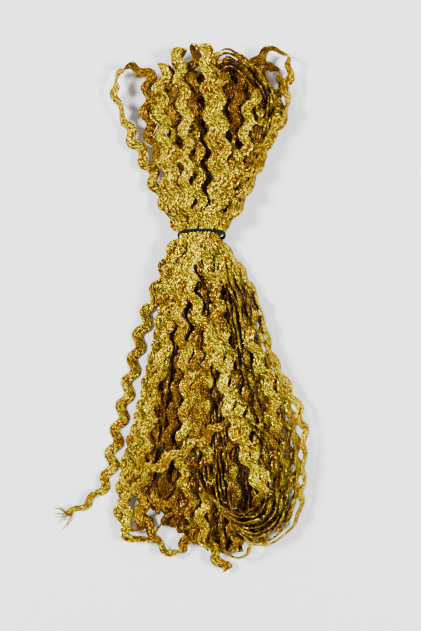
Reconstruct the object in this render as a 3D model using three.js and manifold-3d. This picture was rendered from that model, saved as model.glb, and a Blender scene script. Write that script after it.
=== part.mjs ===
// A hank of metallic ric-rac: a flat braid that runs in even waves, wound into loops,
// tied a third of the way down and laid flat. Short loops fan out above the tie (+Y),
// long ones below it (-Y), and one end of the trim lies loose beside them.
// Millimetres, +Z up, standing on z = 0, with the origin under the middle of the hank.

import * as THREE from 'three';
import { mergeVertices } from 'three/addons/utils/BufferGeometryUtils.js';
import Module from 'manifold-3d';

const wasm = await Module();
wasm.setup();

// The braid
const TAPE_WIDTH = 4.7;
const TAPE_THICKNESS = 1.0;
const WAVE_LENGTH = 11.5;
const WAVE_HEIGHT = 1.7;          // from the middle line to a crest's middle
const SLANT_WIDENING = 0.3;       // how much wider a cut across the axis is on a slant
const LEG_CLEARANCE = 1.7;        // of a loop's lower edge over the floor
const WAIST_LEVEL = 0.86;         // the highest that a leg lies under the tie

// The tie and the waist that it draws in
const TIE_X = -3.4;
const TIE_Y = 34.5;
const TIE_WIDTH = 22.4;
const TIE_HEIGHT = 15.0;
const TIE_BAND = 1.3;
const TIE_THICKNESS = 1.0;
const TIE_CLEAR_OF_FLOOR = 0.25;
const TIE_LEAN = THREE.MathUtils.degToRad(16);
const GAP = 0.3;
const GROOVE_BAND = 2.6;
const GROOVE_DEPTH = 12;
const WAIST_INSET = 0.62;         // the legs keep to this share of the waist's half width

// The body of packed loops. Each row is one cross-section, from the top fan downwards.
const BODY_COLUMNS = ['y', 'left', 'right', 'base', 'top'];
const BODY_SECTIONS = [
  [113, -15, 18, 3, 7],
  [105, -20, 27, 0, 9],
  [92, -20, 29, 0, 11.5],
  [74, -17, 22.5, 0, 13],
  [56, -14.5, 16.5, 0, 13],
  [44, -13.8, 11, 0.8, 13.2],
  [38, -13.6, 7, 1.7, 13.4],
  [31, -13.6, 7, 1.7, 13.4],
  [24, -14.5, 9, 0.8, 13.2],
  [12, -16.5, 12, 0, 13],
  [-10, -20, 18, 0, 13],
  [-40, -26, 28, 0, 11.5],
  [-65, -31, 34, 0, 10],
  [-85, -30, 34, 0, 8.5],
  [-100, -20, 27, 0, 7],
  [-111, -4, 16, 2.5, 5.5],
];
const BODY_LOBES = 10;            // strands side by side over the body's top
const LOBE_RELIEF = 0.55;
const LOBE_SWAY = 0.22;           // of a lobe's width, to one side and the other

// One row for each loop that shows. Legs leave the tie at a share of its half width
// (waist), bow sideways on the way, and meet in a turn: its middle is at x, y, spread is the
// width between the legs there (minus: the front leg is the right one), lean turns it
// towards +X in degrees, and reach is how far it comes out. Level is a leg's height in the
// packed body, 1 on its surface, and z its height at the turn. Roll turns the braid about its
// own length: 0 lies flat, 90 stands on edge. The back leg is made as far as it shows: hidden
// is the share of it that runs inside the body.
const LOOP_COLUMNS = [
  'waistF', 'bowF', 'x', 'y', 'spread', 'lean', 'reach', 'bowB', 'waistB',
  'levelF', 'levelB', 'zF', 'zB', 'rollF', 'rollT', 'rollB', 'hidden',
];
const TOP_LOOPS = [
  [-1.0, 0.8, -35.4, 103.5, 15.2, -6, 9.2, -3.0, -0.9, 0.9, 0.8, 9, 8, 12, 62, -8, 0.1],
  [-0.8, -1.5, -19.6, 109.0, 3.0, -8, 4.4, -1.0, -0.7, 1.1, 0.3, 11, 5, 0, 20, 0, 0.8],
  [-0.3, 0.0, -13.6, 116.6, 3.5, -6, 5.0, 0.0, -0.3, 1.15, 0.5, 13, 6, 0, 25, 0, 0.8],
  [0.1, 0.5, -3.2, 115.6, -6.2, 4, 6.2, 0.0, -0.1, 1.2, 0.7, 13, 9, 0, -50, 0, 0.75],
  [0.3, 0.0, 18.9, 104.0, 31.0, 28, 10.0, 4.0, 0.95, 1.15, 0.8, 12, 9, 10, 82, 70, 0.2],
  [0.5, 0.0, 18.4, 99.0, 21.0, 31, 7.5, 3.0, 0.75, 1.25, 1.1, 13, 11, 0, 82, 20, 0.3],
  [0.7, 1.0, 28.5, 110.8, 16.0, 5, 9.4, 4.8, 1.0, 0.85, 0.9, 9, 8, 30, 75, 35, 0.1],
];
const LOW_LOOPS = [
  [-0.95, 5.5, -33.0, -92.5, 17.0, 12, 12.5, 4.0, -0.4, 0.85, 0.35, 6.2, 4.6, 0, 78, 60, 0.8],
  [-0.8, -1.0, -19.0, -96.0, 23.0, 14, 17.5, 2.0, -0.1, 1.05, 0.5, 5.5, 5.0, 0, 80, 30, 0.85],
  [-0.45, -1.0, -9.5, -94.0, -8.5, 6, 14.0, -1.0, -0.5, 1.15, 0.9, 8, 7, 10, 60, 0, 0.8],
  [-0.1, 0.0, 2.0, -98.0, 8.0, -4, 13.0, 1.0, 0.05, 1.1, 0.9, 7, 6, 0, 80, 60, 0.75],
  [0.35, 22.0, -31.0, -76.0, 10.0, -66, 7.0, 3.0, -0.3, 1.3, 1.0, 10, 9, 25, 60, 30, 0.8],
  [0.25, 3.0, 17.5, -87.0, -14.0, 4, 19.0, 1.0, 0.0, 1.25, 1.0, 10, 8, 0, 70, 40, 0.75],
  [0.95, 8.2, 28.4, -88.0, -31.5, 10, 21.0, 4.0, 0.1, 0.85, 0.6, 5.5, 5.5, 72, 86, 80, 0.75],
  [0.85, 7.0, 26.5, -84.0, -26.0, 6, 22.5, 4.0, 0.2, 0.9, 0.7, 6, 6, 66, 84, 70, 0.8],
];

// The cut end that lies under the lower loops and comes out at the bottom: its shown part.
const CUT_END = { waist: -0.2, bow: 3.0, x: 7.4, y: -121.3, level: 0.55, z: 2.6, hidden: 0.8 };

// The loose end's middle line, from the tie down the left side to its frayed tip.
const LOOSE_END = [
  [-18.8, 25.6, 4.2], [-20.8, 18.0, 3.4], [-24.4, 9.2, 2.6], [-28.5, -0.9, 1.9],
  [-32.2, -12.0, 1.2], [-34.7, -23.0, 0.9], [-37.7, -35.4, 0.7], [-40.5, -47.4, 0.7],
  [-42.8, -57.0, 0.7], [-45.1, -67.6, 0.7], [-46.4, -74.5, 0.7], [-48.6, -81.0, 0.9],
  [-52.2, -85.8, 1.2], [-57.0, -90.2, 1.2], [-61.6, -93.0, 1.0], [-65.6, -95.2, 0.7],
];

const UP = new THREE.Vector3(0, 0, 1);
const ROUTE_STEPS = 40;
const TURN_STEPS = 24;
const PAST_TIE = 5;

function asRows(columns, table) {
  return table.map((values) => Object.fromEntries(columns.map((key, i) => [key, values[i]])));
}

const bodySections = asRows(BODY_COLUMNS, BODY_SECTIONS);

function smooth(from, to, value) {
  const t = THREE.MathUtils.clamp((value - from) / (to - from), 0, 1);
  return t * t * (3 - 2 * t);
}

// The body's cross-section at any y.
function sectionAt(y) {
  const next = bodySections.findIndex((section) => section.y < y);
  const below = next < 0 ? bodySections.length - 1 : Math.max(1, next);
  const a = bodySections[below - 1];
  const b = bodySections[below];
  const t = THREE.MathUtils.clamp((a.y - y) / (a.y - b.y), 0, 1);
  const keys = ['left', 'right', 'base', 'top'];
  return Object.fromEntries(keys.map((key) => [key, THREE.MathUtils.lerp(a[key], b[key], t)]));
}

// Height of the packed body's surface over a point of the floor.
function bodySurface(x, y) {
  const { left, right, top } = sectionAt(y);
  const across = Math.abs((2 * x - left - right) / (right - left));
  return top * Math.pow(Math.max(0, 1 - Math.pow(across / 1.15, 2.4)), 0.5);
}

// A leg from the tie to where its turn starts: a point and the height at share t of the way.
function legPoint(leg, t) {
  const { from, to, heading, bow, level, z } = leg;
  const span = from.distanceTo(to);
  const start = to.clone().sub(from).setLength(span);
  const end = heading.clone().setLength(span);
  const t2 = t * t;
  const t3 = t2 * t;
  const point = from.clone().multiplyScalar(2 * t3 - 3 * t2 + 1)
    .addScaledVector(start, t3 - 2 * t2 + t)
    .addScaledVector(to, -2 * t3 + 3 * t2)
    .addScaledVector(end, t3 - t2);
  point.x += bow * Math.sin(Math.PI * t) ** 1.2;
  const drawnIn = 1 - smooth(4, 28, Math.abs(point.y - TIE_Y));
  const height = THREE.MathUtils.lerp(level, Math.min(level, WAIST_LEVEL), drawnIn);
  const packed = height * bodySurface(point.x, point.y) + LEG_CLEARANCE;
  point.z = THREE.MathUtils.lerp(packed, z, smooth(0.72, 1, t));
  return point;
}

function waistPoint(share, side) {
  const x = TIE_X + share * WAIST_INSET * TIE_WIDTH / 2;
  return new THREE.Vector3(x, TIE_Y - side * PAST_TIE, 0);
}

// A point of a loop's middle line, high enough for the braid's lower edge at that roll.
function clearOfFloor(point, roll) {
  const edge = (WAVE_HEIGHT + TAPE_WIDTH / 2) * Math.abs(Math.sin(THREE.MathUtils.degToRad(roll)));
  point.z = Math.max(point.z, LEG_CLEARANCE + TAPE_THICKNESS / 2 + edge);
  return point;
}

// The middle line of a loop, with the braid's roll and the level direction across it.
function loopRoute(row, side) {
  const lean = THREE.MathUtils.degToRad(row.lean);
  const heading = new THREE.Vector3(Math.sin(lean), side * Math.cos(lean), 0);
  const across = new THREE.Vector3(Math.cos(lean), -side * Math.sin(lean), 0);
  const middle = new THREE.Vector3(row.x, row.y, 0);
  const shoulder = (sign) => middle.clone().addScaledVector(across, sign * row.spread / 2);
  const front = {
    from: waistPoint(row.waistF, side), to: shoulder(-1), heading,
    bow: row.bowF, level: row.levelF, z: row.zF,
  };
  const back = {
    from: waistPoint(row.waistB, side), to: shoulder(1), heading,
    bow: row.bowB, level: row.levelB, z: row.zB,
  };
  const route = [];
  for (let i = 0; i < ROUTE_STEPS; i += 1) {
    const t = i / ROUTE_STEPS;
    const roll = THREE.MathUtils.lerp(row.rollF, row.rollT, smooth(0.6, 1, t));
    route.push({ point: clearOfFloor(legPoint(front, t), roll), roll, side, outward: 1 });
  }
  for (let i = 0; i <= TURN_STEPS; i += 1) {
    const angle = Math.PI * i / TURN_STEPS;
    const point = middle.clone()
      .addScaledVector(heading, row.reach * Math.sin(angle))
      .addScaledVector(across, -row.spread / 2 * Math.cos(angle));
    point.z = THREE.MathUtils.lerp(row.zF, row.zB, (1 - Math.cos(angle)) / 2);
    route.push({ point: clearOfFloor(point, row.rollT), roll: row.rollT, side, across });
  }
  for (let i = ROUTE_STEPS - 1; i >= row.hidden * ROUTE_STEPS; i -= 1) {
    const t = i / ROUTE_STEPS;
    const roll = THREE.MathUtils.lerp(row.rollB, row.rollT, smooth(0.6, 1, t));
    route.push({ point: clearOfFloor(legPoint(back, t), roll), roll, side, outward: -1 });
  }
  return route;
}

function endRoute(end) {
  const leg = {
    from: waistPoint(end.waist, -1), to: new THREE.Vector3(end.x, end.y, 0),
    heading: new THREE.Vector3(0.35, -0.94, 0), bow: end.bow, level: end.level, z: end.z,
  };
  const route = [];
  for (let i = end.hidden * ROUTE_STEPS; i <= ROUTE_STEPS; i += 1) {
    route.push({ point: legPoint(leg, i / ROUTE_STEPS), roll: 0, side: -1, outward: 1 });
  }
  return route;
}

function looseRoute(points) {
  const curve = new THREE.CatmullRomCurve3(points.map((p) => new THREE.Vector3(...p)));
  return curve.getSpacedPoints(120).map((point) => ({ point, roll: 0, side: -1, outward: 1 }));
}

// Evenly spaced stations along a route, with the direction along it and across the braid.
function stations(route, ringsPerWave) {
  const at = [0];
  for (let i = 1; i < route.length; i += 1) {
    at.push(at[i - 1] + route[i].point.distanceTo(route[i - 1].point));
  }
  const length = at[at.length - 1];
  const count = Math.round(length / WAVE_LENGTH * ringsPerWave);
  const list = [];
  let k = 1;
  for (let i = 0; i <= count; i += 1) {
    const distance = length * i / count;
    while (k < at.length - 1 && at[k] < distance) k += 1;
    const t = (distance - at[k - 1]) / (at[k] - at[k - 1]);
    const a = route[k - 1];
    const b = route[k];
    const before = route[Math.max(0, k - 2)].point;
    const after = route[Math.min(route.length - 1, k + 1)].point;
    const along = after.clone().sub(before).normalize();
    let level = a.across;
    if (!level) {
      const outward = along.clone().multiplyScalar(a.outward * a.side);
      level = new THREE.Vector3(outward.y, -outward.x, 0).normalize();
    }
    const roll = THREE.MathUtils.degToRad(THREE.MathUtils.lerp(a.roll, b.roll, t));
    const width = level.clone().multiplyScalar(Math.cos(roll)).addScaledVector(UP, Math.sin(roll));
    width.addScaledVector(along, -width.dot(along)).normalize();
    const face = new THREE.Vector3().crossVectors(width, along);
    list.push({ point: a.point.clone().lerp(b.point, t), width, face });
  }
  return list;
}

// The braid as a closed band: a four-cornered section at each station, waving from side to
// side, and never lower than the floor.
function braid(route, ringsPerWave, phase = 0) {
  const rings = stations(route, ringsPerWave);
  const positions = [];
  const index = [];
  const half = TAPE_THICKNESS / 2;
  rings.forEach(({ point, width, face }, i) => {
    const turn = 2 * Math.PI * (i + 0.5 * (ringsPerWave === 2)) / ringsPerWave + phase;
    const slope = WAVE_HEIGHT * 2 * Math.PI / WAVE_LENGTH * Math.cos(turn);
    const reach = TAPE_WIDTH / 2 * Math.pow(1 + slope * slope, SLANT_WIDENING);
    const offset = WAVE_HEIGHT * Math.sin(turn);
    const corners = [[-1, -1], [1, -1], [1, 1], [-1, 1]].map(([u, v]) => point.clone()
      .addScaledVector(width, offset + u * reach).addScaledVector(face, v * half));
    const lift = Math.max(0, 0.05 - Math.min(...corners.map((corner) => corner.z)));
    corners.forEach((corner) => positions.push(corner.x, corner.y, corner.z + lift));
    if (i === 0) return;
    for (let k = 0; k < 4; k += 1) {
      const a = 4 * (i - 1) + k;
      const b = 4 * (i - 1) + (k + 1) % 4;
      index.push(a, b + 4, b, a, a + 4, b + 4);
    }
  });
  const end = 4 * (rings.length - 1);
  index.push(0, 2, 3, 0, 1, 2, end, end + 2, end + 1, end, end + 3, end + 2);
  return closedGeometry(positions, index);
}

function closedGeometry(positions, index) {
  const geometry = new THREE.BufferGeometry();
  geometry.setAttribute('position', new THREE.Float32BufferAttribute(positions, 3));
  geometry.setIndex(index);
  return geometry;
}

// The packed body: flat below, rounded above, drawn in at the waist, its top in ridges that
// wave as the strands do.
function packedBody() {
  const arcSteps = 2 * BODY_LOBES;
  const perRing = arcSteps + 1;
  const highest = bodySections[0].y;
  const lowest = bodySections[bodySections.length - 1].y;
  const count = Math.round((highest - lowest) / (WAVE_LENGTH / 2));
  const positions = [];
  const index = [];
  for (let i = 0; i <= count; i += 1) {
    const y = THREE.MathUtils.lerp(highest, lowest, i / count);
    const { left, right, base, top } = sectionAt(y);
    for (let k = 0; k <= arcSteps; k += 1) {
      const inside = k > 0 && k < arcSteps;
      const sway = inside ? LOBE_SWAY * (i % 2 ? 1 : -1) : 0;
      const relief = inside ? LOBE_RELIEF * (k % 2 ? 1 : -1) : 0;
      const angle = Math.PI * (k + 2 * sway) / arcSteps;
      const cos = Math.cos(angle);
      const reachX = (right - left) / 2 + relief;
      const reachZ = top - base + relief;
      positions.push(
        (left + right) / 2 + reachX * Math.sign(cos) * Math.abs(cos) ** 0.75,
        y,
        base + reachZ * Math.abs(Math.sin(angle)) ** 0.85,
      );
    }
    if (i === 0) continue;
    for (let k = 0; k < perRing; k += 1) {
      const a = perRing * (i - 1) + k;
      const b = perRing * (i - 1) + (k + 1) % perRing;
      index.push(a, b + perRing, a + perRing, a, b, b + perRing);
    }
  }
  const end = perRing * count;
  for (let k = 1; k < arcSteps; k += 1) {
    index.push(0, k + 1, k, end, end + k, end + k + 1);
  }
  return closedGeometry(positions, index);
}

// A rounded outline round the waist, grown by a margin, in the tie's own plane.
function waistOutline(Kind, margin) {
  const halfX = TIE_WIDTH / 2 - TIE_THICKNESS - GAP + margin;
  const halfZ = TIE_HEIGHT / 2 - TIE_THICKNESS - GAP + margin;
  const steps = 32;
  const outline = new Kind();
  for (let k = 0; k < steps; k += 1) {
    const angle = 2 * Math.PI * k / steps;
    const x = halfX * Math.sign(Math.cos(angle)) * Math.abs(Math.cos(angle)) ** 0.8;
    const z = halfZ * Math.sign(Math.sin(angle)) * Math.abs(Math.sin(angle)) ** 0.8;
    if (k === 0) outline.moveTo(x, z);
    else outline.lineTo(x, z);
  }
  outline.closePath();
  return outline;
}

// A band round the waist between two margins, leaning back at the top.
function waistBand(inner, outer, band) {
  const shape = waistOutline(THREE.Shape, outer);
  shape.holes.push(waistOutline(THREE.Path, inner));
  const geometry = new THREE.ExtrudeGeometry(shape, { depth: band, bevelEnabled: false });
  geometry.translate(0, 0, -band / 2);
  geometry.rotateX(Math.PI / 2 - TIE_LEAN);
  geometry.translate(TIE_X, TIE_Y, TIE_CLEAR_OF_FLOOR + TIE_HEIGHT / 2 * Math.cos(TIE_LEAN) + 0.3);
  return geometry;
}

function toManifold(geometry) {
  const plain = geometry.clone();
  plain.deleteAttribute('normal');
  plain.deleteAttribute('uv');
  const merged = mergeVertices(plain, 1e-4);
  return new wasm.Manifold(new wasm.Mesh({
    numProp: 3,
    vertProperties: merged.attributes.position.array,
    triVerts: new Uint32Array(merged.index.array),
  }));
}

function toGeometry(solid) {
  const { vertProperties, triVerts } = solid.getMesh();
  return closedGeometry(vertProperties, Array.from(triVerts));
}

// The joined body alone, without the small voids that loops close off inside it.
function outerBody(solid) {
  return solid.decompose().reduce((a, b) => (a.volume() > b.volume() ? a : b));
}

function hankSolid() {
  let solid = toManifold(packedBody());
  const add = (rows, side) => asRows(LOOP_COLUMNS, rows).forEach((row, i) => {
    solid = solid.add(toManifold(braid(loopRoute(row, side), 2, i * Math.PI)));
  });
  add(TOP_LOOPS, 1);
  add(LOW_LOOPS, -1);
  solid = solid.add(toManifold(braid(endRoute(CUT_END), 2)));
  solid = solid.subtract(toManifold(waistBand(0, GROOVE_DEPTH, GROOVE_BAND)));
  return outerBody(solid);
}

function named(name, geometry, material) {
  const mesh = new THREE.Mesh(geometry, material);
  mesh.name = name;
  return mesh;
}

const gold = new THREE.MeshStandardMaterial({ color: 0xb88a1c, roughness: 0.35, metalness: 0.8 });
const looseGold = gold.clone();
const navy = new THREE.MeshStandardMaterial({ color: 0x10131c, roughness: 0.6, metalness: 0 });

const hank = new THREE.Group();
hank.add(named('hank', toGeometry(hankSolid()), gold));
hank.add(named('tie', waistBand(GAP, GAP + TIE_THICKNESS, TIE_BAND), navy));
hank.add(named('loose_end', braid(looseRoute(LOOSE_END), 4), looseGold));

export default hank;
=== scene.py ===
"""A hank of gold metallic ric-rac, tied a third of the way down and laid flat.

The trim is a flat braid that runs in even waves. Each loop of it is wound from a row of a
short table, laid at its level in the pile, and settled so that the layers lie on each other.
"""

import math

import bpy
import numpy as np
from bpy.props import FloatProperty, FloatVectorProperty, IntProperty, PointerProperty
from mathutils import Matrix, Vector


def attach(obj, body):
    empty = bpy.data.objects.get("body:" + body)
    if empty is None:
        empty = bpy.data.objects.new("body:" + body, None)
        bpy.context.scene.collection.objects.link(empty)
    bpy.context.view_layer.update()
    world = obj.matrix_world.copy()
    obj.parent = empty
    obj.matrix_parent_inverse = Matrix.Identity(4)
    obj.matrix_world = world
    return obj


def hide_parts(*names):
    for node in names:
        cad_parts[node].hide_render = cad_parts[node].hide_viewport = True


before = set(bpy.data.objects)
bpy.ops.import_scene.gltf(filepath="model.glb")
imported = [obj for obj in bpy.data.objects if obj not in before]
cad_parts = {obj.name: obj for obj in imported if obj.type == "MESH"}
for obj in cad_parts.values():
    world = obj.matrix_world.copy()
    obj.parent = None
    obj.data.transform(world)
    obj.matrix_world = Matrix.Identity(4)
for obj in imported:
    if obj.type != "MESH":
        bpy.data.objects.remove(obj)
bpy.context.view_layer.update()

bl_info = {
    "name": "Ric-rac hank",
    "version": (1, 0, 0),
    "blender": (4, 5, 0),
    "location": "View3D > Sidebar > Ric-rac",
    "description": "Winds a tied hank of metallic ric-rac around its packed solids",
    "category": "Object",
}

MM = 0.001
ABOVE, BELOW = 1, -1              # sides of the tie

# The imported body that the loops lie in, in millimetres, from the top fan downwards.
BODY_COLUMNS = ("y", "left", "right", "top")
BODY_SECTIONS = (
    (113, -15, 18, 7),
    (105, -20, 27, 9),
    (92, -20, 29, 11.5),
    (74, -17, 22.5, 13),
    (56, -14.5, 16.5, 13),
    (44, -13.8, 11, 13.2),
    (38, -13.6, 7, 13.4),
    (31, -13.6, 7, 13.4),
    (24, -14.5, 9, 13.2),
    (12, -16.5, 12, 13),
    (-10, -20, 18, 13),
    (-40, -26, 28, 11.5),
    (-65, -31, 34, 10),
    (-85, -30, 34, 8.5),
    (-100, -20, 27, 7),
    (-111, -4, 16, 5.5),
)
BODY = {
    key: np.array([row[k] for row in BODY_SECTIONS][::-1], float)
    for k, key in enumerate(BODY_COLUMNS)
}
BODY_WIDENING = 1.15              # half widths from its middle to where its top meets the floor
BODY_SQUARENESS = 2.4             # of its cross-section: 2 is an ellipse

# The tie, and the waist where the strands pass through it.
TIE_X = -3.4
TIE_Y = 34.5
TIE_HALF_X = 9.9                  # half width of its opening
TIE_HALF_Z = 6.2                  # half height of its opening
TIE_MIDDLE_Z = 7.76
TIE_SQUARENESS = 2.5
TIE_LEVEL = 0.8                   # distance from the tie over which the ceiling is level
TIE_ROOM = 1.0                    # rise of the ceiling for each mm beyond that
WAIST_HALF = 6.9                  # half width over which the strands pass
WAIST_NARROWING = 0.8             # of that width, where they end inside the waist
WAIST_DIVE = 7.0                  # height at which they end there
PAST_TIE = 5.0                    # distance beyond the tie at which they end

# How much the tie's pull takes off, and the distances from the tie between which it fades:
# off the waves' height and the tape's width, and off the gaps between the layers.
DRAWN_WAVE = 0.25
DRAWN_TAPE = 0.15
DRAWN_BRAID = (2, 16)
DRAWN_GAP = 0.6
DRAWN_PILE = (4, 26)

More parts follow.
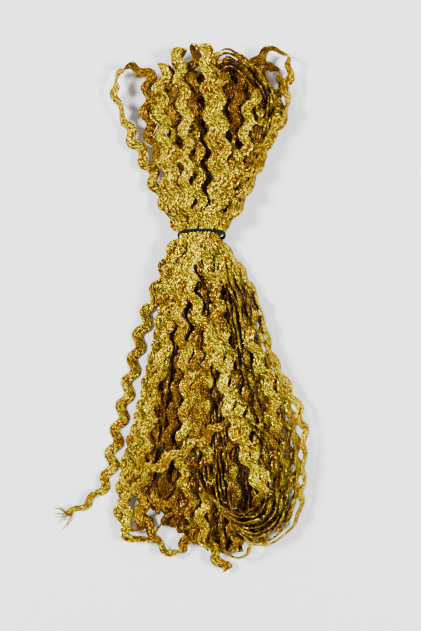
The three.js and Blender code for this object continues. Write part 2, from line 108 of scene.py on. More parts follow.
# One row for each strand that shows: its name, the shares of the waist's half width where it
# starts and ends, the knot where a crest lies to the left, the length of its waves, and its
# knots. A knot is x, y, z in millimetres and, where it changes, the roll in degrees: 0 lies
# face up, 90 stands on edge, 180 lies face down, and FOLD takes the roll of the knots beside it.
FOLD = None
TOP_STRANDS = (
    ("left loop", -1.0, -0.55, 4, 11.0, (
        (-15.6, 40.5, 8, 0), (-19.3, 47.8, 7.5), (-23.5, 55.2, 7), (-25.8, 62, 6.5),
        (-29.4, 69, 6.5, 5), (-33, 76, 6.5, 10), (-36, 81, 7, 20), (-37.8, 86.5, 7.5, 50),
        (-40.3, 92, 8.5, 80), (-42, 97.5, 9, 60), (-43.5, 102, 9, 35), (-43.2, 106, 9, 70),
        (-41, 110, 9, 40), (-37.5, 112.2, 9.5, 90), (-33.6, 112.1, 9.5, 140), (-30, 110.4, 9, 150),
        (-27.5, 107.5, 8.5, 170), (-27.4, 103, 8, 180), (-28, 98, 8), (-28.5, 92, 8), (-28, 86, 8),
        (-26.2, 79.6, 8), (-24, 73.6, 8), (-21.2, 67.6, 9), (-18, 61.2, 9), (-15.2, 54.3, 9),
        (-12.4, 46, 9),
    )),
    ("left edge", -0.9, -0.8, 6, 11.3, (
        (-15.6, 41.4, 10.5, 0), (-17.5, 49.2, 10.5), (-18.9, 57.5, 10.5), (-19.8, 66.7, 10.5),
        (-21.2, 75.9, 10.5), (-22.5, 84.2, 10), (-23.5, 91, 9.5), (-23.9, 97.5, 9),
        (-23.9, 101.2, 7, FOLD), (-23.5, 98.4, 5, 180), (-21.6, 87.4, 3.5), (-18.9, 69, 3),
        (-15.2, 48.3, 4),
    )),
    ("left tip", -0.8, -0.6, 5, 11.3, (
        (-12.9, 40.5, 12, 0), (-14.7, 50.6, 12.5), (-16.6, 60.7, 12.5), (-18.4, 71.3, 12.5),
        (-20.2, 81.9, 12), (-22.1, 91.1, 11.5), (-22.5, 98.4, 11), (-21.6, 105.8, 10.5),
        (-20.2, 110.9, 9.5), (-20, 113.6, 7.5, FOLD), (-19.8, 110.9, 5.5, 180), (-18.9, 103.5, 4),
        (-17, 87.4, 3), (-13.3, 64.4, 3.5),
    )),
    ("brown beside the left tip", -0.5, -0.4, 4, 11.3, (
        (-11.5, 43.7, 12, 0), (-13.3, 55.2, 12), (-15.2, 66.7, 12, 10), (-16.1, 78.2, 11.5, 40),
        (-17, 88.3, 10.5, 160), (-17, 96.6, 10, 180), (-16.6, 103, 9.5), (-16.1, 106.7, 7, FOLD),
        (-16.1, 104, 5, 0), (-14.7, 89.7, 3), (-12.4, 69, 3), (-9.7, 48.3, 4),
    )),
    ("lemon tip", -0.3, -0.15, 7, 11.8, (
        (-7.8, 40.5, 13.5, 0), (-9.2, 48.3, 14), (-9.9, 57.5, 14.2), (-10.1, 66.7, 14.2),
        (-10.6, 75.9, 14), (-11.3, 86.5, 13.5), (-12, 96.6, 13), (-12.9, 105.8, 12.5),
        (-13.8, 114.1, 11.5), (-14, 119.1, 10.5), (-14, 121.2, 8.5, FOLD),
        (-13.8, 119.1, 6.2, 180), (-13.3, 112.7, 5), (-12, 98.9, 4), (-10.1, 75.9, 3),
        (-8.7, 50.6, 3.5),
    )),
    ("twin tip", 0.1, -0.05, 6, 11.6, (
        (-0.9, 40.5, 13.5, 0), (1.8, 49.7, 14), (3.7, 59.3, 14.5), (2.8, 69, 14.5), (1.6, 80, 14),
        (0.9, 90.6, 13.5), (0, 100.7, 13), (-0.5, 108.1, 12.5), (-0.9, 115, 12), (-2.1, 119.1, 11),
        (-4.1, 121.4, 9.5, FOLD), (-5.8, 119.1, 7.5, 180), (-6.4, 115, 6.5), (-8.3, 109.5, 5.5),
        (-9, 101.2, 4.5), (-7.8, 87.4, 4), (-5.5, 69, 4), (-3.7, 48.3, 4),
    )),
    ("brown between the tips", 0.0, 0.05, 4, 11.3, (
        (-4.1, 43.7, 12.8, 0), (-4.6, 55.2, 12.8), (-5.0, 66.7, 12.5, 10), (-5.5, 78.2, 12, 40),
        (-6, 89.7, 10.5, 160), (-6.2, 98.9, 9.5, 180), (-6.2, 105.8, 9), (-6, 110.4, 7, FOLD),
        (-5.8, 107.6, 4.5, 0), (-5, 92, 3), (-4.1, 69, 2.5), (-4.1, 48.3, 3),
    )),
    ("lemon under the arcs", 0.2, 0.2, 7, 11.3, (
        (1.8, 42.3, 12.8, 0), (4.6, 50.6, 13), (6.4, 59.8, 13), (6.9, 69, 13), (6.4, 78.2, 13),
        (5.1, 87.4, 12.8), (4.1, 94.8, 12.5), (4.8, 101.7, 12.3), (6, 106.7, 11.5),
        (6.9, 109.9, 9.5, FOLD), (7.4, 107.2, 7, 180), (7.8, 98.9, 5), (7.8, 80.5, 3),
        (5.5, 59.8, 3), (1.8, 43.7, 4),
    )),
    ("small right loop", 0.55, 0.9, 4, 11.3, (
        (6.9, 46, 7.5, 180), (10.6, 57.5, 7.5), (14.3, 69, 7.5), (18, 82.8, 7.5),
        (20.7, 94.3, 7.5), (23, 103.5, 8), (24.4, 109, 8.5, 175), (26.2, 112, 9, 160),
        (28.8, 112.9, 9, 130), (31.5, 111.3, 9, 90), (33.3, 108.6, 9, 50), (33.1, 104.9, 9, 20),
        (32.2, 100.3, 8.5, 10), (32.7, 95.2, 8), (31.3, 89.2, 8, 20), (28.1, 81.9, 7.5, 30),
        (24.4, 73.6, 7.5, 40), (20.7, 64.4, 7.5, 50), (16.6, 55.2, 7.5, 60), (12.4, 46.9, 7.5),
    )),
    ("right loop", 0.7, 1.0, 14, 11.3, (
        (6, 45.1, 7, 180), (9.7, 55.2, 7), (13.3, 66.7, 7), (16.6, 80.5, 7), (18.4, 94.3, 7),
        (19.5, 104.9, 7.5), (20.5, 110.9, 8.5), (21.8, 115, 9, 175), (24.1, 118, 9, 160),
        (27.1, 119.5, 9.5, 115), (30.4, 119.9, 9.5, 95), (34, 118.5, 9.5, 90),
        (36.6, 116.3, 9.5, 70), (36.6, 113, 9, 50), (36.6, 108.6, 9, 45), (36.3, 104, 9),
        (35.4, 100.3, 8.5, 50), (36, 96.8, 8, 70), (36.5, 92.9, 8, 85), (35, 88.6, 7.5, 60),
        (31.5, 84.2, 7.5, 40), (28.3, 79.6, 7.5, 35), (25.5, 73.6, 8, 40), (23.2, 67.2, 8, 45),
        (20.2, 59.8, 8, 50), (17, 52.4, 8, 60), (13.3, 45.5, 8),
    )),
    ("lemon at the right", 0.45, 0.45, 5, 11.3, (
        (3.2, 45.1, 12, 0), (6.9, 52.4, 12), (10.6, 59.8, 12), (13.8, 66.7, 12), (16.6, 73.6, 12),
        (17.5, 80.5, 12), (17.9, 87.4, 12), (19.3, 93.8, 11.5), (21, 98.9, 10.5),
        (22, 102.1, 9, FOLD), (21.6, 99.5, 6.5, 180), (20, 92, 4), (16.6, 75, 3), (10.6, 57.5, 3),
        (5, 44, 4),
    )),
    ("brown at the right", 0.35, 0.3, 4, 11.3, (
        (1.4, 44.2, 12.2, 0), (5.1, 51.5, 12.2), (8.3, 59.8, 12.2), (10.1, 68.1, 12.2, 20),
        (11, 75.9, 12, 60), (12, 83.7, 11.5, 160), (12.9, 91.1, 11, 180), (13.3, 97.5, 10.5),
        (13.3, 101.7, 8.5, FOLD), (13.3, 98.5, 6, 0), (12.4, 89.7, 4), (9.7, 69, 3),
        (4.1, 48.3, 4),
    )),
    ("beside the right loops", 0.6, 0.55, 5, 11.3, (
        (9.2, 43.7, 10.5, 10), (13.5, 54, 10.5), (17.8, 64, 10.5), (21, 74, 10.5), (23, 84, 10),
        (24, 93, 9.5), (24.2, 98.5, 8, FOLD), (24.5, 95, 5.5, 170), (22.5, 82, 4, 180),
        (17.5, 64, 3.5), (11, 48, 4),
    )),
    ("brown under the arcs", 0.25, 0.3, 4, 11.3, (
        (3, 45, 8, 180), (6, 60, 8), (7.5, 78, 8), (7.5, 92, 8), (7, 103, 8), (6.4, 110.5, 8),
        (6.4, 115.5, 7, FOLD), (9.8, 112, 5.5, 0), (10.8, 104, 4.5), (11, 92, 4), (10, 70, 3.5),
        (6, 48, 4),
    )),
    ("brown under the arcs' middle", 0.4, 0.45, 4, 11.3, (
        (6, 47, 8, 180), (10, 62, 8), (12.5, 78, 8.5), (13.5, 92, 8.5), (14, 104, 8.5),
        (14.3, 112, 7.5, FOLD), (16.5, 109.5, 5.5, 0), (17.5, 100, 4.5), (17, 84, 4),
        (13.5, 66, 4), (8.5, 48, 4),
    )),
    ("brown under the arcs' right", 0.5, 0.6, 4, 11.3, (
        (8, 48, 7.5, 180), (13, 64, 7.5), (17.5, 80, 7.5), (20, 94, 7.5), (20.8, 103, 7.5),
        (20.8, 109.5, 6.5, FOLD), (23.5, 106.5, 5, 0), (25.5, 98, 4.5), (24, 84, 4), (18.5, 66, 4),
        (11, 49, 4),
    )),
    ("brown inside the arcs' end", 0.65, 0.75, 4, 11.3, (
        (9, 48.5, 6.5, 150), (15, 65, 6.5), (21, 80, 6.5), (25, 92, 6.5, 160),
        (26.8, 100, 6.5, 170), (26.5, 105.5, 6, FOLD), (28, 101, 4.5, 10), (28, 92, 4),
        (25, 80, 4, 0), (19, 65, 4), (12, 49, 4),
    )),
    ("on edge at the right", 0.6, 0.7, 4, 11.3, (
        (5.1, 45.1, 10, 60), (9.2, 52.4, 10), (13.3, 59.8, 10), (17, 67.2, 10), (19.8, 74.5, 10),
        (21.6, 81.9, 10, 65), (23, 88, 9.5, 80), (25, 91.5, 9, 90), (27, 90, 8.5), (27, 84, 8, 80),
        (24.5, 76, 8, 75), (20.5, 66, 8, 70), (16, 56, 8, 65), (11.5, 47, 8, 60),
    )),
)
OUTER_ARC = ("outer arc", 0.3, 0.85, 4.4, 11.5, (
    (1.4, 43.7, 11, 0), (4.6, 55.2, 10.5), (5.5, 69, 10.5), (4.6, 82.8, 10.5), (3, 96.6, 10.5),
    (1.8, 108.1, 10.5), (2.1, 114.1, 10.5, 30), (4.6, 117.5, 11, 80), (8.7, 118.9, 11, 90),
    (12.9, 117.1, 11), (17.5, 114.3, 11), (21.6, 110.9, 11), (25.3, 106.7, 10.5),
    (28.1, 102.6, 10), (30.1, 98, 9.5, 80), (30.6, 92.5, 9, 70), (29, 86, 9), (26.2, 79.1, 9),
    (23, 70.8, 9, 75), (19.3, 62.1, 9, 80), (15.6, 53.8, 9), (12, 46.5, 9),
))
INNER_ARC = ("inner arc", 0.2, 0.6, 4.4, 11.5, (
    (0.5, 46, 9, 0), (3.2, 57.5, 9), (4.1, 69, 9), (3.7, 82.8, 9), (2.8, 94.3, 9),
    (2.3, 101.2, 9.3), (2.8, 105.8, 9.5, 30), (4.6, 109, 9.7, 75), (8.3, 111.3, 10, 90),
    (11, 111.1, 10), (13.8, 109.5, 10), (16.1, 107.2, 10), (18.4, 104, 9.5), (20.2, 100.7, 9),
    (21.6, 96.6, 9, 85), (22.1, 92, 8.5), (21.6, 86.5, 8, 80), (19.8, 79.1, 8), (17, 70.4, 8),
    (14.3, 62.1, 8), (11.5, 54.3, 8), (8.7, 47.4, 8, 75),
))
LOW_STRANDS = (
    ("left strand and its loop", -0.95, -0.1, 4, 11.4, (
        (-16.1, 28.5, 9, 0), (-18.4, 13.8, 8.5), (-21.2, -4.6, 8), (-22.5, -16.1, 7.5),
        (-25.8, -27.6, 7), (-31.7, -50.6, 6), (-37.3, -69, 5), (-40, -83.7, 4.5),
        (-40.7, -91.5, 3.8), (-40.2, -98, 3.4, 15), (-38.3, -103, 3.4, 40), (-35.5, -106, 3.2, 65),
        (-32.2, -107, 3.2, 72), (-28.3, -106.3, 3.2, 76), (-25.3, -104.2, 3.2, 80),
        (-22.1, -99.8, 3.4, 100), (-18, -95.9, 3.8, 120), (-12, -92, 4.5, 140),
        (-6.4, -90, 4, 160), (-2.8, -85, 4, 180), (-2, -70, 3.5), (-4.1, -41.4, 3), (-5, 13.8, 4),
    )),
    ("flat turn of the left loop", -0.9, -0.7, 3, 11.4, (
        (-16, 15, 8, 0), (-24, -20, 7), (-33, -55, 6), (-38, -78, 5.5), (-38.8, -88, 5.5),
        (-38.8, -95, 5, 10), (-37.5, -100, 4.6, 40), (-34.8, -102.6, 4.5, 90),
        (-32.3, -100, 4.8, 140), (-31.4, -94, 5, 170), (-31.3, -86, 5.5, 180), (-29, -72, 5),
        (-24, -45, 5), (-16, 0, 5),
    )),
    ("crossing strand and the lowest left loop", -0.3, 0.0, 18, 11.4, (
        (-7.4, 18.4, 5, 0), (-7.4, -32.2, 4.5), (-5, -66.7, 5.5, 40), (-0.9, -81, 6, 80),
        (13.8, -91.5, 6, 90), (23.9, -95.2, 6), (28.1, -92.9, 6), (31.3, -82.8, 7, 100),
        (31.3, -69, 9), (28.1, -58.4, 10.5, 90), (20.2, -51, 11.5), (15.6, -48.8, 12, 85),
        (10.6, -49.2, 12, 70), (5.5, -52, 12, 50), (-4.6, -59.8, 12, 0), (-15.6, -66.7, 11),
        (-26.2, -73.1, 9), (-30.4, -77.3, 7.5), (-32.2, -82.8, 6), (-31.7, -89, 5),
        (-30.8, -94.8, 4.2, 10), (-28.5, -99.8, 3.6, 40), (-25.5, -104, 3.4, 62),
        (-23.7, -108.8, 3.4, 70), (-21, -111.8, 3.4, 72), (-16.1, -113.4, 3.4),
        (-12, -112.8, 3, 110), (-10.4, -109.6, 3.2, 160), (-9.4, -106.5, 3.5, 180),
        (-7, -104.5, 4), (-5, -100, 4), (-5, -90, 4), (-4, -60, 3.5), (-4.5, -10, 3), (-5, 20, 4),
    )),
    ("brown strand inside the left loops", -0.6, -0.2, 4, 11.4, (
        (-11.5, 27.6, 8, 180), (-15.2, 2.3, 7.5), (-18.9, -30, 6.5), (-21.6, -46, 6.5),
        (-24.4, -59.8, 6), (-26.2, -71.3, 6), (-26.2, -79.1, 5.5), (-24.4, -85.1, 5),
        (-20.2, -88.8, 5), (-14.7, -91.1, 5), (-9.7, -90.2, 5), (-6, -86.5, 5), (-4.6, -80.5, 5),
        (-5.5, -55.2, 4.5), (-6, -4.6, 4), (-5.5, 18.4, 4.5),
    )),
    ("second strand at the left", -0.75, -0.6, 4, 11.4, (
        (-13.8, 28.5, 11, 0), (-15.2, 19.3, 11), (-16.1, 9.2, 11), (-17.5, -0.9, 10.5),
        (-19.3, -11.5, 10), (-21.6, -21.6, 9.5), (-23.9, -31.3, 9), (-25.8, -41.4, 8.5),
        (-27.1, -50.6, 8), (-28.5, -59.8, 8), (-30.8, -68.1, 7.5), (-32.7, -74.5, 7),
        (-33.1, -79.1, 5.5, FOLD), (-32.7, -76.4, 3.5, 180), (-27.1, -59.8, 3), (-20.2, -32.2, 3),
        (-13.3, 13.8, 3.5),
    )),
    ("on edge at the left", -0.5, -0.4, 4, 11.4, (
        (-10.6, 27.6, 9, 60), (-12.9, 17.5, 9), (-15.2, 6.9, 9), (-17, -3.7, 8.5),
        (-17.9, -14.3, 8), (-18.4, -24.8, 8, 70), (-18.9, -35.4, 8, 80), (-19.8, -46, 7.5),
        (-20.7, -56.1, 7), (-21.6, -65.3, 6.5), (-22.1, -72.7, 5.5), (-20.5, -75.5, 4.5, 90),
        (-19.3, -70, 4), (-17.5, -50, 3.5, 60), (-14.5, -20, 3, 20), (-11.5, 10, 3, 0),
    )),
    ("middle strand", -0.3, -0.25, 4, 11.4, (
        (-8.7, 27.6, 12.5, 0), (-10.6, 18.4, 13), (-12.4, 8.3, 13), (-13.3, -2.3, 13),
        (-12.4, -12.9, 12.5), (-11, -23, 12), (-10.1, -33.1, 11.5), (-10.6, -43.2, 11),
        (-11.5, -52.9, 10.5), (-12.4, -62.1, 10), (-12.4, -69.9, 9), (-11.5, -77.3, 8),
        (-10.6, -81.9, 6, FOLD), (-10.1, -78.2, 4, 180), (-9.7, -64.4, 3), (-8.7, -36.8, 3),
        (-7.8, 13.8, 4),
    )),
    ("bright strand", -0.05, 0.15, 4, 11.4, (
        (-5.5, 29, 13, 0), (-7.8, 22.1, 13.5), (-8.7, 13.8, 13.5), (-6.9, 5.5, 13.5),
        (-3.7, -2.3, 13.5), (0, -9.7, 13), (3.2, -17, 12.5), (5.1, -24.8, 12), (7.4, -34, 12),
        (9.2, -43.2, 12.5), (11, -52.4, 13), (13.5, -59.8, 13), (16.5, -66.2, 13),
        (19.5, -72.7, 12.5), (22.6, -78.6, 12), (24.4, -84.5, 10), (23, -90.6, 7, 40),
        (19.3, -93.8, 5.5, 90), (14.3, -93.8, 5, 110), (9.7, -91.1, 5, 120), (6, -86.5, 5, 150),
        (4.1, -78.2, 4.5, 180), (3.2, -64.4, 4), (2.3, -41.4, 4), (0.5, -13.8, 4), (-1.8, 13.8, 4),
    )),
    ("beside the bright strand", 0.1, 0.1, 9.5, 11.4, (
        (0, 25, 9, 0), (4, 5, 9), (8, -15, 9), (11.5, -35, 10), (14.7, -52, 11.5), (17.6, -60, 12),
        (20.3, -67, 12), (23, -74, 11.5), (26, -81, 10), (27, -88, 8, 20), (25, -94, 6.5, 60),
        (20, -97.5, 6, 80), (14, -97, 6, 90), (9, -93, 6, 100), (6, -86, 5, 140),
        (4, -75, 4.5, 180), (2, -45, 4), (-1, 0, 4), (-2, 18, 4),
    )),
    ("right of the middle", 0.35, 0.2, 9, 11.4, (
        (0.9, 27.6, 11, 0), (4.6, 19.3, 11), (8.3, 11, 10.5, 60), (12, 2.8, 10, 80),
        (15.2, -4.6, 9.5, 60), (17.9, -11, 9.5, 20), (20.2, -17, 9.5, 0), (22.5, -23, 9.5),
        (25.8, -29.4, 9.5), (28.1, -35.9, 9.5), (29.4, -42.3, 9), (30.4, -49.2, 9),
        (29.9, -56.1, 8.5), (28.5, -63, 8), (28.1, -69.9, 7.5), (28.5, -76.8, 7), (29, -83.7, 6.5),
        (27.6, -90.2, 6, 30), (24.4, -94.8, 5.5, 60), (19.8, -97.1, 5.5, 80),
        (14.7, -97.1, 5.5, 90), (9.7, -94.8, 5.5, 95), (5.5, -91.1, 5.5, 110),
        (2.8, -85.1, 5, 150), (1.4, -75.9, 4.5, 180), (0.5, -59.8, 4), (-0.5, -32.2, 4),
        (-1.8, 18.4, 4),
    )),
    ("right edge and the small arc at the foot", 0.85, 0.25, 4, 11.5, (
        (7.8, 27.1, 8.5, 70), (13.3, 14.3, 7.5, 80), (17.8, 0.5, 7, 85), (21.5, -12.9, 7, 80),
        (28.4, -26.2, 7, 68), (34.4, -38.6, 7), (38.1, -51, 7, 70), (39.6, -64.4, 7, 75),
        (40, -78.2, 7, 80), (37.7, -90.6, 7, 85), (34, -96.1, 7, 88), (29, -100.7, 7, 90),
        (23.5, -104.4, 7, 80), (19.8, -108.1, 6.5, 76), (17.5, -112.2, 6, 74), (13.8, -114.3, 5.5),
        (9.7, -113.2, 5.5), (6.9, -109.5, 5.5, 76), (5.5, -103.5, 5.5, 80), (5.1, -94.3, 5, 75),
        (4.6, -78.2, 5, 70), (4.1, -59.8, 5, 60), (3.2, -36.8, 5, 50), (1.8, -9.2, 5, 30),
        (-0.5, 16.1, 5, 20),
    )),
)
CUT_STRAND = ("cut end", 0.1, None, 4, 11.4, (
    (-2.8, 27.6, 12, 0), (0, 19.3, 12.5), (2.8, 11.5, 12.5), (4.1, 3.7, 12.3), (3.2, -4.6, 11.5),
    (1.4, -12.9, 10.5), (-0.5, -22.1, 10), (-1.8, -32.2, 9.5), (-2.8, -42.3, 9),
    (-2.3, -52.9, 8.5), (-0.9, -63.5, 8), (-0.5, -73.6, 7.5), (-0.9, -82.8, 7), (-2.3, -89.7, 6.5),
    (-3.2, -95.7, 6), (-2.8, -102.1, 5.5), (-0.5, -107.6, 5), (2.8, -112.7, 3.5),
    (5.5, -117.3, 2.6), (7.8, -121.4, 2),
))
OUTER_RIGHT = ("outer right loop", 0.95, 0.3, 4, 11.5, (
    (8.7, 27.6, 7.5, 64), (16.6, 16, 6.3), (21.6, 7.8, 5.5), (25.3, -4.6, 5.5, 62),
    (28.5, -18.4, 5.5), (34.5, -30.8, 5.5, 54), (40, -42.8, 5.5, 50), (43.2, -55.7, 5.5),
    (43.7, -69, 5.5), (43.2, -82.8, 5.5, 55), (40.9, -95.7, 6, 66), (37.7, -101.2, 6.5, 70),
    (33.1, -105.8, 7, 74), (27.6, -108.6, 7.5, 76), (22.1, -108.6, 8), (17.9, -105.3, 8, 80),
    (14.7, -100.7, 8, 90), (11.5, -90, 8), (8.3, -59.8, 7), (5.1, -18.4, 5), (0.5, 20.7, 5, 60),
))
INNER_RIGHT = ("inner right loop", 0.55, 0.4, 4, 11.5, (
    (4.1, 25.8, 10, 70), (6.5, 15, 10, 80), (8.5, 6, 10), (10.1, -4, 10), (12, -15, 10, 76),
    (13.3, -28, 10, 70), (14, -40, 9.5, 60), (16.5, -52, 9, 52), (20, -64, 9, 50),
    (22.5, -75, 9, 56), (23.5, -81, 9, 66), (22.5, -87, 9.5, 76), (18, -91, 10, 78),
    (12, -91.5, 10.5, 76), (6, -89, 10.5), (1, -85, 10, 80), (-3, -80, 9, 90), (-5, -70, 7),
    (-4, -50, 6), (-2, -10, 5), (0.5, 18.4, 5, 60),
))

# The strands that lie between the two arcs, and between the two right loops: the shares of the
# way from the outer to the inner one. Every second right loop has its waves moved on.
ARC_SHARES = (0.0, 0.09, 0.22, 0.38, 0.55, 0.76, 1.0)
RIGHT_SHARES = (0.0, 0.13, 0.28, 0.42, 0.55, 0.7, 0.85, 1.0)
HALF_WAVE = 0.43                  # of the way from one knot of these loops to the next

# Strands that are brighter or duller than the rest, from 0 to 1 and beyond: painted light on the
# strands that catch it and painted shade on those that lie in shade, such as the brown strands
# under the arcs.
PAINTED_LIGHT_AND_SHADE_TONES = {
    "lemon tip": 1.2, "twin tip": 0.9, "lemon under the arcs": 1.1, "bright strand": 1.5,
    "left strand and its loop": 0.5, "flat turn of the left loop": 1.2,
    "beside the bright strand": 1.3, "left loop": 0.4, "right of the middle": 0.9,
    "brown under the arcs": -0.2, "brown under the arcs' middle": 0.0, "left tip": 0.8,
}
OTHER_TONES = (0.0, 0.8)          # range of the strands that the table doesn't name
PLAIN_TONE = 0.5                  # tone that leaves the yarns as bright as they are
TONE_STRENGTH = 0.22
PATTERN_SHIFT = 500.0             # mm of yarn pattern from tone 0 to 1, so that strands differ

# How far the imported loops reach, above and below the tie, from left to right: x and y.
FAN_REACH = ((-23, 99), (-16, 108), (-6, 111), (6, 112), (14, 109), (22, 103), (29, 94))
FOOT_REACH = ((-30, -84), (-22, -94), (-10, -102), (2, -109), (14, -111), (24, -106), (33, -96))

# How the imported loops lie. Lengths are in millimetres, and a pair is a range to draw from.
PACKED_SPOT = (0.2, 0.8)          # place within a loop's own share of the body's width
PACKED_INSET = 2.5                # from the body's sides
PACKED_SHORT = (0, 8)             # of the tip, inside the reach
PACKED_SHIFT = (-6, 6)            # sideways, from the front leg to the back leg
PACKED_WAVER = (-1.2, 1.2)        # sideways, at each knot
PACKED_TURNED = 0.45              # share of the loops that show their back
PACKED_TILT = {ABOVE: (0, 30), BELOW: (0, 80)}
PACKED_TILT_CHANGE = (0.4, 1.4)   # share of the tilt, at each knot
PACKED_FRONT = (0.4, 0.75)        # height of the front leg in the body
PACKED_BACK = (0.15, 0.4)         # height of the back leg in the body
PACKED_LOWEST_TOP = 4.0           # the least height that the body is taken to have
PACKED_KNOTS = (0.2, 0.4, 0.6, 0.8, 1.0)
PACKED_PULL = 4                   # power by which a leg bends to the tip late on its way
PACKED_TIP = 4.0                  # length of the turn at the tip
PACKED_WAIST = (0.9, 0.85)        # narrowing of the front and the back leg at the waist
PACKED_CREST = 3

# The loose end's middle line, from the tie down the left side to its frayed tip, the roll at
# each of its points, and the point where a crest lies to the left.
LOOSE_END = (
    (-18.8, 25.6, 4.2), (-20.8, 18.0, 3.4), (-24.4, 9.2, 2.6), (-28.5, -0.9, 1.9),
    (-32.2, -12.0, 1.2), (-34.7, -23.0, 0.9), (-37.7, -35.4, 0.7), (-40.5, -47.4, 0.7),
    (-42.8, -57.0, 0.7), (-45.1, -67.6, 0.7), (-46.4, -74.5, 0.7), (-48.6, -81.0, 0.9),
    (-52.2, -85.8, 1.2), (-57.0, -90.2, 1.2), (-61.6, -93.0, 1.0), (-65.6, -95.2, 0.7),
)
LOOSE_ROLL = 10 * (0,) + (10, 25, 40, 45, 50, 50)
LOOSE_CREST = 3

# Where the frayed threads of the loose end's tip reach: x, y, z.
THREAD_TIPS = (
    (-71.0, -91.3, 1.6), (-72.4, -92.8, 0.8), (-69.2, -92.4, 2.2), (-73.2, -94.9, 1.4),
    (-71.9, -96.8, 0.5), (-70.6, -99.6, 1.0), (-68.9, -102.8, 0.6), (-67.9, -98.2, 1.8),
    (-66.4, -101.2, 0.5), (-70.0, -95.6, 2.4), (-68.4, -94.4, 1.5),
)
THREAD_SIZE = 0.65
THREAD_TAPER = 0.5                # of the thickness, left at the tip
THREAD_SIDES = 5
THREAD_KNOTS = (0.0, 0.35, 0.7, 1.0)
THREAD_STEPS = 5                  # from one knot to the next
THREAD_INSIDE = (0.5, 2.0)        # how far inside the tape's end a thread starts
THREAD_SPREAD = (-1.6, 1.6)       # and how far from the tape's middle
THREAD_RISE = 0.2
THREAD_BEND = (-0.9, 0.9)         # of the two middle knots
THREAD_BEND_SHARES = (1, 1, 0.4)
THREAD_PATTERN = 0.2              # yarn pattern across a thread, to a millimetre

# How a strand wanders to each side, in mm, and about its own length, in radians: each wave's
# size and the mm of strand that one radian of it takes.
SWAY_SHIFTS = ((0.3, 17), (0.25, 7.3))
SWAY_TURNS = ((0.16, 13), (0.12, 5.9))
SWAY_FADE = 25                    # from a strand's end to its full sway

# The plaited yarns: a dash's length in mm, rows across the tape, slant of the rows, how uneven
# they are, relief in mm, and how far the back's pattern is set off from the face's.
YARN_DASH = 1.1
YARN_ROWS = 11.0
YARN_SLANT = 0.5
YARN_UNEVENNESS = 0.75
YARN_RELIEF = 0.32
YARN_DOME = -0.9                  # height lost from a yarn's middle to its edge
YARN_TILT = 2.2                   # how much each yarn leans its own way
BACK_OFFSET = 20.0

# The gold's finish, with glints and shade painted into its colours. A yarn's painted shine runs
# from 0 to 1, with patches that are brighter or duller.
FACE_STOPS = (0.3, 0.6, 0.92)     # shine of the deep, the middle and the bright colour
BACK_STOPS = (0.2, 1.0)           # shine of the back's deep and its lighter colour
PATCHES = 75.0                    # to a metre
PATCH_STRENGTH = 0.9
GROOVE_SHADE_EDGES = (0.28, 0.62)       # distance from a yarn's middle to the rim and the bottom of its groove of painted shade
GROOVE_SHADE_DEPTH = 0.9                # share of the painted shade's colour at the groove's bottom
GOLD_METALLIC = 0.85
GOLD_SPECULAR = 0.15
GOLD_ROUGHNESS = (0.22, 0.42)

# The tie's finish: its cords, as waves to a metre, and how far they are bent and raised.
TIE_CORDS = 900.0
TIE_CORD_BEND = 1.5
TIE_CORD_BEND_SCALE = 3.0
TIE_FUZZ = 2 * TIE_CORDS
TIE_RELIEF = 0.15
TIE_RELIEF_STRENGTH = 0.6
TIE_ROUGHNESS = 0.75
TIE_SPECULAR = 0.05
FLOOR_ROUGHNESS = 0.6

SPLINE_STEPS = 12                 # from one knot of a strand to the next
STEPS_PER_WAVE = 16
SETTLE_PER_WAVE = 6
SETTLE_ROUNDS = 80
SETTLE_STEP = 0.9                 # of the wanted move, made in each round
SETTLE_REACH = 0.8                # of two half widths, within which two strands touch
SETTLE_THICKNESS = 0.68           # of the braid's thickness that layers keep apart
SETTLE_FLOOR = 0.1                # of a mm, kept between a strand and the floor
GRAVITY = 0.02                    # of a mm, that a strand sinks in each round
FLOOR_GAP = 0.05                  # of a mm, that the meshes stay above the floor
NEARLY_ZERO = 1e-9

# The braid's cross-section, in shares of its half width and half thickness.
SECTION = (
    (-1.0, 0.0), (-0.86, 0.62), (-0.45, 0.95), (0.0, 1.0), (0.45, 0.95), (0.86, 0.62),
    (1.0, 0.0), (0.86, -0.62), (0.45, -0.95), (0.0, -1.0), (-0.45, -0.95), (-0.86, -0.62),
)

# The stage, in metres and watts. The picture's height takes in FRAME_HEIGHT at
# FRAME_DISTANCE from the camera, half way up the hank.
FLOOR_SIZE = 3.0
CAMERA_PLACE = (0.0007, -0.0025, 0.53)
SENSOR_HEIGHT = 36.0              # in mm
FRAME_HEIGHT = 0.2903
FRAME_DISTANCE = 0.52
LIGHTS = (("left_box", (-0.85, 0.25, 1.0), 38.0), ("right_box", (0.85, -0.05, 1.0), 30.0))
LIGHT_SIZE = 0.3
SKY = (0.95, 0.97, 1.0, 1)
SKY_BAND = (0.62, 0.97)           # heights in the sky between which its strength changes
SKY_STRENGTH = (0.8, 0.18)        # from the horizon to the top


def colour(name, description, default):
    """A colour that a user can change."""
    return FloatVectorProperty(
        name=name, description=description, subtype="COLOR", size=4, default=default + (1.0,),
    )


class TrimSizes(bpy.types.PropertyGroup):
    """Sizes of the braid, in millimetres."""

    tape_width: FloatProperty(name="Tape width", description="Width of the braid", default=5.0)
    thickness: FloatProperty(name="Thickness", description="Thickness of the braid", default=1.0)
    wave_length: FloatProperty(
        name="Wave", description="Length of a wave, in the packed loops and the loose end",
        default=11.4,
    )
    wave_height: FloatProperty(name="Wave height", description="Middle to crest", default=1.45)
    slant: FloatProperty(name="Slant", description="Widening on a slant", default=0.3)
    packed_top: IntProperty(name="Packed above", description="Hidden loops above", default=12)
    packed_low: IntProperty(name="Packed below", description="Hidden loops below", default=24)
    seed: IntProperty(name="Seed", description="Varies the strands' sway", default=7)


